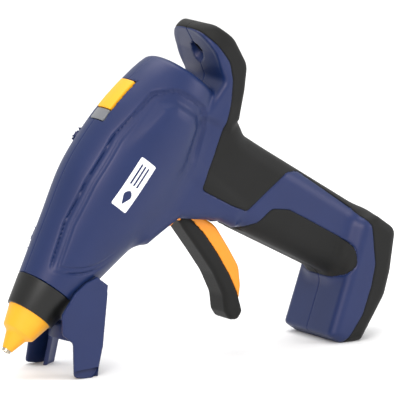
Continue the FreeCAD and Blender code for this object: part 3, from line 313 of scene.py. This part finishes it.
def settle(form, points, step, rounds=2):
    """Pulls points on to the form's surface."""
    for _ in range(rounds):
        here, grad = slope(form, points)
        move = here / np.maximum((grad ** 2).sum(1), 0.25)
        points = points - grad * np.clip(move, -0.4 * step, 0.4 * step)[:, None]
    return points


def triangles(quads):
    return np.concatenate([quads[:, [0, 1, 2]], quads[:, [0, 2, 3]]])


def cut_along(points, faces, value):
    """Splits every triangle that the line value = 0 crosses, so that each lies on one side."""
    side = value > 0
    count = side[faces].sum(1)
    mixed = (count == 1) | (count == 2)
    cut = faces[mixed]
    lone = side[cut] == (count[mixed] == 1)[:, None]
    cut = np.take_along_axis(cut, (lone.argmax(1)[:, None] + np.arange(3)) % 3, 1)
    ends = np.sort(np.concatenate([cut[:, [0, 1]], cut[:, [0, 2]]]), axis=1)
    edges, where = np.unique(ends, axis=0, return_inverse=True)
    p, q = edges.T
    t = value[p] / (value[p] - value[q])
    fresh = points[p] + t[:, None] * (points[q] - points[p])
    m0, m1 = (where.reshape(-1) + len(points)).reshape(2, -1)
    a, b, c = cut.T
    new = np.concatenate([np.stack([a, m0, m1], 1), np.stack([m0, b, c], 1), np.stack([m0, c, m1], 1)])
    return np.concatenate([points, fresh]), np.concatenate([faces[~mixed], new])


def placed(name, points, faces, body="housing", sharp=38.0):
    """A mesh object from points in the gun's frame, which rides on a body."""
    mesh = bpy.data.meshes.new(name)
    mesh.from_pydata(np.asarray(points).tolist(), [], np.asarray(faces).tolist())
    mesh.transform(GUN)
    mesh.validate()
    mesh.shade_smooth()
    mesh.set_sharp_from_angle(angle=math.radians(sharp))
    obj = bpy.data.objects.new(name, mesh)
    bpy.context.scene.collection.objects.link(obj)
    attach(obj, body)
    return obj


def thick(points, faces, normals, thickness):
    """A patch of surface closed into a shell of one thickness."""
    used, index = np.unique(faces, return_inverse=True)
    faces = index.reshape(-1, 3)
    outer, inner = points[used], points[used] - normals[used] * thickness
    count = len(outer)
    edges = np.concatenate([faces[:, [0, 1]], faces[:, [1, 2]], faces[:, [2, 0]]])
    _, first, times = np.unique(np.sort(edges, axis=1), axis=0, return_index=True, return_counts=True)
    rim = edges[first[times == 1]]
    sides = np.concatenate([np.stack([rim[:, 1], rim[:, 0], rim[:, 0] + count], 1),
                            np.stack([rim[:, 1], rim[:, 0] + count, rim[:, 1] + count], 1)])
    return np.concatenate([outer, inner]), np.concatenate([faces, faces[:, ::-1] + count, sides])


def formed(name, form, low, high, step, body="housing"):
    """A closed piece made from its own distance function."""
    points, quads = net(*sample(form, low, high, step), step)
    return placed(name, settle(form, points, step, 3), quads, body)


def turned(name, corners, body="housing", sides=96):
    """A ring or cone turned about the barrel's axis from a closed outline of (x, radius, rounding)."""
    ring = rounded(corners)
    turn = np.arange(sides) * 2 * math.pi / sides
    points = np.array([(x, r * math.cos(t), r * math.sin(t)) for t in turn for x, r in ring])
    count = len(ring)
    faces = []
    for i in range(sides):
        for j in range(count):
            k, m = (i + 1) % sides, (j + 1) % count
            faces.append((i * count + j, k * count + j, k * count + m, i * count + m))
    area = sum(a[0] * b[1] - b[0] * a[1] for a, b in zip(ring, np.roll(ring, -1, axis=0)))
    if area > 0:
        faces = [face[::-1] for face in faces]
    return placed(name, points, faces, body, 50.0)


# ---------------------------------------------------------------- materials

def material(name, colour, roughness, grain, grain_size, shift=0.05, blotch=60.0, specular=0.5, sheen=0.0,
             coat=0.0, metallic=0.0, tint=(1.0, 1.0, 1.0)):
    """A moulded surface: fine grain in the bump, with slow changes of shade and gloss."""
    mat = bpy.data.materials.new(name)
    mat.use_nodes = True
    nodes, links = mat.node_tree.nodes, mat.node_tree.links
    shader = nodes["Principled BSDF"]
    shader.inputs["Metallic"].default_value = metallic
    shader.inputs["Specular IOR Level"].default_value = specular
    shader.inputs["Specular Tint"].default_value = (*tint, 1.0)
    shader.inputs["Sheen Weight"].default_value = sheen
    shader.inputs["Sheen Roughness"].default_value = 0.4
    shader.inputs["Coat Weight"].default_value = coat
    shader.inputs["Coat Roughness"].default_value = 0.25
    place = nodes.new("ShaderNodeTexCoord")
    slow = nodes.new("ShaderNodeTexNoise")
    slow.inputs["Scale"].default_value = blotch
    slow.inputs["Detail"].default_value = 6.0
    links.new(place.outputs["Object"], slow.inputs["Vector"])
    fine = nodes.new("ShaderNodeTexNoise")
    fine.inputs["Scale"].default_value = grain_size
    fine.inputs["Detail"].default_value = 3.0
    links.new(place.outputs["Object"], fine.inputs["Vector"])
    shades = nodes.new("ShaderNodeValToRGB")
    shades.color_ramp.elements[0].position = 0.3
    shades.color_ramp.elements[1].position = 0.7
    shades.color_ramp.elements[0].color = (*[c * (1 - shift) for c in colour], 1)
    shades.color_ramp.elements[1].color = (*[min(1.0, c * (1 + shift)) for c in colour], 1)
    links.new(slow.outputs["Fac"], shades.inputs["Fac"])
    links.new(shades.outputs["Color"], shader.inputs["Base Color"])
    gloss = nodes.new("ShaderNodeMapRange")
    gloss.inputs["To Min"].default_value = roughness - 0.05
    gloss.inputs["To Max"].default_value = roughness + 0.05
    links.new(fine.outputs["Fac"], gloss.inputs["Value"])
    links.new(gloss.outputs["Result"], shader.inputs["Roughness"])
    bump = nodes.new("ShaderNodeBump")
    bump.inputs["Strength"].default_value = grain
    bump.inputs["Distance"].default_value = 0.0001
    links.new(fine.outputs["Fac"], bump.inputs["Height"])
    links.new(bump.outputs["Normal"], shader.inputs["Normal"])
    return mat


def linear(red, green, blue):
    """A display colour of 0 to 255 as scene-linear numbers."""
    return tuple((c / 255 / 12.92) if c < 10 else ((c / 255 + 0.055) / 1.055) ** 2.4
                 for c in (red, green, blue))


BLUE = material("navy_moulding", linear(20, 38, 78), 0.42, 0.35, 2600, 0.04, specular=0.35,
                tint=(1.0, 0.86, 0.95))
BLACK = material("soft_black_skin", linear(15, 15, 14), 0.62, 0.6, 3200, 0.1, specular=0.25, sheen=0.03)
COLLAR = material("satin_black_moulding", linear(14, 14, 13), 0.42, 0.3, 2400, 0.08, specular=0.35)
SILICONE = material("yellow_silicone", linear(232, 160, 8), 0.5, 0.25, 1800, 0.03, sheen=0.1)
AMBER = material("amber_plastic", linear(230, 138, 6), 0.4, 0.25, 2200, 0.03)
CAP = material("yellow_cap", linear(234, 165, 10), 0.42, 0.25, 2200, 0.03)
LENS = material("grey_lens", linear(104, 106, 110), 0.25, 0.1, 1500, 0.04, coat=0.3)
METAL = material("plated_metal", linear(190, 180, 160), 0.28, 0.3, 3000, 0.05, metallic=1.0)
STEEL = material("bright_steel", linear(180, 180, 184), 0.3, 0.3, 3000, 0.05, metallic=1.0)
ALUMINIUM = material("cast_aluminium", linear(200, 200, 202), 0.4, 0.5, 1500, 0.06, metallic=1.0)
BOARD = material("green_board", linear(24, 88, 50), 0.35, 0.2, 900, 0.1)
FILM = material("shrink_film", linear(70, 130, 90), 0.25, 0.2, 900, 0.05)
WHITE = material("white_print", linear(235, 236, 238), 0.45, 0.2, 2500, 0.02)
RESIN = material("brown_resin", linear(110, 80, 55), 0.55, 0.4, 1500, 0.1)
GUIDE = material("guide_black", linear(20, 20, 20), 0.5, 0.3, 2400, 0.08)

NODE_LOOKS = {
    STEEL: ("check_ball", "check_spring", "heater_clamp", "trigger_pin", "stand_pin", "return_spring",
            "cell_link", "cell_tabs", "charging_socket", "housing_screws", "drive_pin", "jaw_pin",
            "feed_jaw"),
    METAL: ("nozzle_tip",),
    ALUMINIUM: ("heating_chamber",),
    BOARD: ("button_board", "control_board"),
    FILM: ("battery_cell_left", "battery_cell_right"),
    WHITE: ("status_led", "ptc_heater", "heat_sensor", "feed_carriage"),
    SILICONE: ("inlet_sleeve",),
    RESIN: ("front_heat_ring", "rear_heat_ring"),
    GUIDE: ("stick_guide", "tact_switch"),
}
for look, names in NODE_LOOKS.items():
    for node in names:
        for place in frame["nodes"][node].material_slots:
            place.material = look


def wear(obj, look, slot, *nodes):
    """Gives a new piece its look and hides the nodes that it stands for; its slot name is not used."""
    obj.data.materials.clear()
    obj.data.materials.append(look)
    if nodes:
        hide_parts(*nodes)
    return obj


# ---------------------------------------------------------------- shells and skins

def build_shell():
    """Both housing halves and their soft skins, cut from one form along their borders.

    Rows of points are laid beside each border, groove and seam first, so that the relief is even.
    """
    points, quads = net(*sample(shell, LOW, HIGH, STEP), STEP)
    points = settle(shell, points, STEP)
    faces = triangles(quads)
    rows = [(lambda x, y, z: y, (-0.45, 0.0, 0.45)),
            (lambda x, y, z: spine(x, z), (-0.6, 0.0, 0.6)),
            (lambda x, y, z: palm(x, z), (-0.6, 0.0, 0.6)),
            (lambda x, y, z: panel(x, z), (-3.6, -2.9, -2.2, -1.2, 0.0, 1.2))]
    for measure, levels in rows:
        for level in levels:
            value = measure(*points.T) - level
            value[np.abs(value) < 0.02] = 0.0
            points, faces = cut_along(points, faces, value)
    _, facing = slope(shell, points)
    facing = facing / np.maximum(np.linalg.norm(facing, axis=1), 1e-6)[:, None]
    for _ in range(3):
        points = points - facing * np.clip(shell(*points.T, relief=True), -1.0, 1.0)[:, None]
    centre = points[faces].mean(1)
    in_spine, in_palm = spine(centre[:, 0], centre[:, 2]) < 0, palm(centre[:, 0], centre[:, 2]) < 0
    looks = (("housing", ~in_spine & ~in_palm, BLUE, "blue_shell"),
             ("spine_grip", in_spine, BLACK, "black_skin"),
             ("palm_grip", in_palm & ~in_spine, BLACK, "black_skin"))
    for name, chosen, look, slot_name in looks:
        for side, word in ((1, "right"), (-1, "left")):
            patch = faces[chosen & (centre[:, 1] * side > 0)]
            piece = placed(name + "_shell_" + word, *thick(points, patch, facing, 1.2))
            nodes = [name + "_" + word] + (["guard_" + word] if name == "housing" else [])
            wear(piece, look, slot_name, *nodes)


# ---------------------------------------------------------------- trigger

def lever_front():
    return [(106.8, -41.0, 3), (105.2, -46.0, 8), (100.6, -63.5, 30), (97.0, -76.0, 25), (91.5, -87.5, 10),
            (85.2, -94.0, 4), (83.6, -99.0, 4), (86.6, -103.0, 3), (91.5, -102.5, 3)]


pad_edge = outline(lever_front() + [
    (97.5, -94.0, 8), (102.2, -84.5, 25), (107.0, -71.0, 25), (110.6, -58.0, 20), (112.3, -45.0, 8),
    (111.0, -38.5, 3)])
core_edge = outline([
    (99.5, -33.0, 3), (101.5, -38.5, 3), (107.2, -39.0, 2), (104.5, -62.0, 25), (99.5, -78.0, 25),
    (91.5, -91.5, 8), (94.5, -97.2, 2.5), (101.5, -93.0, 8), (108.5, -86.0, 12), (112.6, -75.0, 25),
    (117.3, -60.5, 16), (114.8, -38.5, 6), (111.0, -25.5, 3), (103.0, -25.0, 3)])


def pad_form(x, y, z):
    return met(pad_edge(x, z), np.abs(y) - 8.2, 2.6)


def core_form(x, y, z):
    core = met(core_edge(x, z), np.abs(y) - 7.7, 1.6)
    channel = met(core_edge(x, z) + 2.2, np.abs(y) - 5.2, 1.0)
    open_back = np.maximum(np.maximum(channel, 108.0 - x + (z + 60) * -0.33), z + 44.0)
    pin = np.sqrt((x - PIVOT[0]) ** 2 + (z - PIVOT[1]) ** 2) - 1.56
    return np.maximum(np.maximum(carved(core, open_back, 0.4), -pad_form(x, y, z) + 0.05), -pin)


def build_trigger():
    fine = 0.5
    pad = formed("trigger_pad", pad_form, (80, -10, -107), (116, 10, -33), fine, "trigger")
    wear(pad, BLACK, "black_skin", "trigger_grip")
    core = formed("trigger_lever", core_form, (80, -10, -107), (121, 10, -21), fine, "trigger")
    wear(core, AMBER, "amber_plastic", "trigger")


# ---------------------------------------------------------------- nose

def build_nose():
    cover = turned("nozzle_sleeve", [
        (1.4, 2.35, 0.2), (1.4, 2.75, 0.3), (9.8, 5.7, 3.0), (11.7, 8.6, 1.6), (22.3, 11.7, 0.4),
        (24.0, 11.7, 0.3), (24.0, 6.2, 0.3), (11.6, 6.1, 0.2), (9.8, 2.35, 0.2)])
    wear(cover, SILICONE, "yellow_silicone", "nozzle_cover")
    collar = turned("nose_ring", [
        (22.3, 11.75, 0.2), (22.3, 12.8, 0.5), (37.75, 16.0, 0.4), (37.75, 13.0, 0.2), (24.5, 12.0, 0.2)])
    wear(collar, COLLAR, "black_plastic", "nose_collar")


# ---------------------------------------------------------------- button and lens

def crown(low_x, high_x, rise, half, edge):
    """A cap that follows the barrel's top between two stations."""
    def form(x, y, z):
        sides = met(np.abs(y) - half, np.maximum(low_x - x, x - high_x), 0.7)
        top = barrel(x, y, z) - rise
        return np.maximum(met(top, sides, edge), 19.0 - z)
    return form


def build_button():
    button = formed("button_cap", crown(BUTTON[0] + 0.05, BUTTON[1], 0.9, BUTTON[2], 0.5),
                    (127, -8, 17), (150, 8, 33), 0.4, "power_button")
    wear(button, CAP, "amber_plastic", "power_button")
    lens = formed("lens_window", crown(LENS_FRONT + 0.05, BUTTON[0] - 0.3, 0.1, BUTTON[2], 0.4),
                  (120, -8, 17), (131, 8, 33), 0.4)
    wear(lens, LENS, "grey_lens", "indicator_lens")


# ---------------------------------------------------------------- stand

OPEN = math.radians(138.0)
SLOPE = math.radians(14.0)
GAP, WALL = 0.6, 1.9
LEG_SPACE, ARCH_AT = 14.6, 22.0
NOSE_CLEAR, EYE_SPACE = 13.0, 15.2
EYE_RADIUS, EYE_MIDDLE, EYE_HALF = 3.4, 17.1, 1.1
PIN_HOLE, PIN_DEPTH = 1.36, 18.6
BARREL_CLEAR = 0.4


cheek_edge = outline([
    (-12.8, 3.5, 2), (-6.5, 10.3, 5), (21.2, 10.2, 10), (34.0, 8.4, 8), (38.3, 4.8, 3), (38.3, -4.9, 2),
    (21.7, -6.9, 3), (18.2, -13.6, 3), (8.2, -14.9, 3), (-3.0, -8.6, 3), (-9.0, -3.0, 2)])


def stand_form(x, y, z):
    """The stand's trough, cheeks and legs, worked out as it lies folded and turned open about its hinge."""
    dx, dz = x - HINGE[0], z - HINGE[1]
    fx, fz = dx * math.cos(OPEN) - dz * math.sin(OPEN), dx * math.sin(OPEN) + dz * math.cos(OPEN)
    lx, lz = fx * math.cos(SLOPE) - fz * math.sin(SLOPE), fx * math.sin(SLOPE) + fz * math.cos(SLOPE)
    across = np.abs(y)
    hull = barrel(np.clip(HINGE[0] + fx, FRONT, 90.0), y, HINGE[1] + fz)
    trough = np.maximum(hull - GAP - WALL, GAP - hull)
    plate = met(np.maximum(lz - 10.2, lx - 39.5), -12.8 - lx, 3.5)
    body = met(met(trough, plate, 0.7), HINGE[1] + fz + 2.0, 0.5)
    body = carved(body, met(across - LEG_SPACE, ARCH_AT - lx, 3.0), 0.4)
    ring = np.sqrt(dx * dx + dz * dz)
    body = np.maximum(body, -np.maximum(ring - NOSE_CLEAR, across - EYE_SPACE))
    side = across - eased(np.clip(HINGE[0] + fx, FRONT, 90.0), STATIONS, HALF_WIDTHS) - GAP
    wing = met(cheek_edge(lx, lz), np.maximum(-side, side - WALL), 0.6)
    body = np.minimum(body, wing)
    eye = met(ring - EYE_RADIUS, np.abs(across - EYE_MIDDLE) - EYE_HALF, 0.4)
    body = np.maximum(np.minimum(body, eye), -np.maximum(ring - PIN_HOLE, across - PIN_DEPTH))
    body = np.maximum(body, BARREL_CLEAR - barrel(x, y, z))
    height = ORIGIN.z * 1000 + x * ALONG.z + z * ABOVE.z
    return met(body, -height, 0.3)


def build_stand():
    fine = 0.5
    stand = formed("stand_legs", stand_form, (-8, -24, -60), (56, 24, 4), fine, "stand")
    wear(stand, BLUE, "blue_shell", "stand")


# ---------------------------------------------------------------- print on the side panel

def on_flank(x, z, lift, side):
    """The shell's flank at x and z, raised by a little."""
    y = np.full(x.shape, 27.0)
    for _ in range(12):
        y = y - np.clip(shell(x, y, z), -2.0, 3.0)
    return np.stack([x, side * (y + lift), z], 1)


def decal(name, corners, lift, side, look, slot_name):
    """A thin printed patch that follows the flank."""
    edge = outline(corners)
    flat = np.array([c[:2] for c in corners])
    low, high = flat.min(0) - 0.6, flat.max(0) + 0.6
    pitch = 0.5
    xs, zs = np.arange(low[0], high[0], pitch), np.arange(low[1], high[1], pitch)
    gx, gz = np.meshgrid(xs, zs, indexing="ij")
    points = np.stack([gx.ravel(), 0 * gx.ravel(), gz.ravel()], 1)
    index = np.arange(gx.size).reshape(gx.shape)
    quads = np.stack([index[:-1, :-1], index[1:, :-1], index[1:, 1:], index[:-1, 1:]], -1).reshape(-1, 4)
    points, faces = cut_along(points, triangles(quads), edge(points[:, 0], points[:, 2]))
    centre = points[faces].mean(1)
    faces = faces[edge(centre[:, 0], centre[:, 2]) < 0]
    used, faces = np.unique(faces, return_inverse=True)
    points = on_flank(points[used][:, 0], points[used][:, 2], lift, side)
    faces = faces.reshape(-1, 3)
    if side > 0:
        faces = faces[:, ::-1]
    normals = np.tile([0.0, side, 0.0], (len(points), 1))
    return wear(placed(name, *thick(points, faces, normals, 0.08)), look, slot_name)


def build_prints():
    for side, word in ((-1, "left"), (1, "right")):
        decal("panel_plate_" + word, [(88.5, -1.0, 1), (116.5, -1.0, 1), (116.5, 8.8, 1), (88.5, 8.8, 1)],
              0.05, side, WHITE, "white_plastic")
        decal("panel_drop_" + word, [(91.0, 3.9, 0.3), (96.5, 1.2, 2.6), (99.6, 3.9, 2.6), (96.5, 6.6, 2.6)],
              0.12, side, BLUE, "blue_shell")
        for n in range(3):
            z = 1.6 + 2.1 * n
            decal("panel_bar_%d_%s" % (n, word), [(102.0, z, 0.35), (113.5, z, 0.35), (113.5, z + 0.9, 0.35),
                                                  (102.0, z + 0.9, 0.35)], 0.12, side, BLUE, "blue_shell")


LOW, HIGH = (34.0, -27.0, -170.0), (204.0, 27.0, 36.0)
STEP = 0.8
build_shell()
build_trigger()
build_nose()
build_button()
build_stand()
build_prints()

# ---------------------------------------------------------------- studio

def area_light(name, place, aim, size, power, colour):
    data = bpy.data.lights.new(name, "AREA")
    data.shape = "RECTANGLE"
    data.size, data.size_y = size
    data.energy = power
    data.color = colour
    light = bpy.data.objects.new(name, data)
    light.location = place
    light.rotation_euler = (Vector(aim) - Vector(place)).to_track_quat("-Z", "Y").to_euler()
    bpy.context.scene.collection.objects.link(light)


def build_studio():
    world = bpy.data.worlds.new("studio")
    world.use_nodes = True
    world.node_tree.nodes["Background"].inputs["Color"].default_value = (1.0, 1.0, 1.0, 1)
    world.node_tree.nodes["Background"].inputs["Strength"].default_value = 0.9
    bpy.context.scene.world = world
    bpy.context.scene.view_settings.view_transform = "Standard"
    mesh = bpy.data.meshes.new("floor")
    reach = 6.0
    mesh.from_pydata([(-reach, -reach, 0), (reach, -reach, 0), (reach, reach, 0), (-reach, reach, 0)], [],
                     [(0, 1, 2, 3)])
    floor = bpy.data.objects.new("floor", mesh)
    bpy.context.scene.collection.objects.link(floor)
    mesh.materials.append(material("pale_floor", (0.9, 0.9, 0.9), 0.8, 0.1, 300, 0.01))
    area_light("key", (-0.9, -0.9, 0.9), (0, 0, 0.08), (0.7, 0.7), 14, (1.0, 0.98, 0.96))
    area_light("fill", (0.9, -0.8, 0.5), (0, 0, 0.08), (0.6, 0.6), 5, (0.97, 0.97, 1.0))
    area_light("top", (0.1, 0.3, 1.2), (0, 0, 0.08), (0.9, 0.9), 9, (1.0, 1.0, 1.0))


AZIMUTH, ELEVATION = math.radians(33.0), math.radians(10.3)


def build_camera():
    """A long lens from the gun's near front."""
    right = Vector((math.cos(AZIMUTH), -math.sin(AZIMUTH), 0))
    ahead = Vector((math.sin(AZIMUTH) * math.cos(ELEVATION), math.cos(AZIMUTH) * math.cos(ELEVATION),
                    -math.sin(ELEVATION)))
    up = right.cross(ahead)
    target = ORIGIN + right * 0.09725 + up * 0.0760
    distance, width = 3.0, 0.200
    data = bpy.data.cameras.new("camera")
    data.sensor_width = 36.0
    data.lens = 36.0 * distance / width
    data.clip_end = 50.0
    camera = bpy.data.objects.new("camera", data)
    camera.matrix_world = Matrix((
        (right.x, up.x, -ahead.x, 0), (right.y, up.y, -ahead.y, 0), (right.z, up.z, -ahead.z, 0),
        (0, 0, 0, 1)))
    camera.location = target - ahead * distance
    bpy.context.scene.collection.objects.link(camera)
    bpy.context.scene.camera = camera


build_studio()
build_camera()
